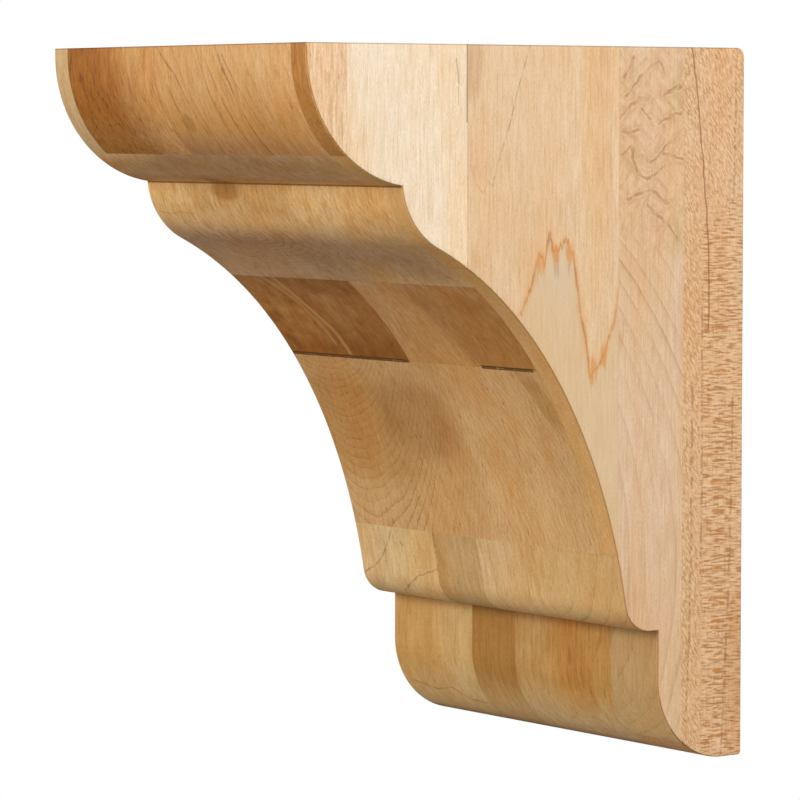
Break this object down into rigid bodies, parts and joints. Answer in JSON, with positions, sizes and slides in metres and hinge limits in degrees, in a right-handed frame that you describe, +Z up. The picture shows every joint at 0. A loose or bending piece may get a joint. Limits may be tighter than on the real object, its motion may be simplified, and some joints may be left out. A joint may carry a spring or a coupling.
{
  "type": "wooden corbel bracket",
  "caption": "Solid wooden corbel bracket with a quarter-round cap, a rounded neck, a long cove, a nose and a small foot; flat back for a wall, flat top for a shelf or counter.",
  "frame": {"origin": "centre of the flat back, which goes against the wall", "axes": "+Y into the wall, so the front of the corbel faces -Y; +X along the width, +Z up toward the flat top"},
  "size_m": [0.127, 0.1524, 0.2032],
  "materials": {
    "wood": "sanded, unfinished"
  },
  "bodies": {
    "root": {"corbel": "wood"}
  },
  "joints": []
}
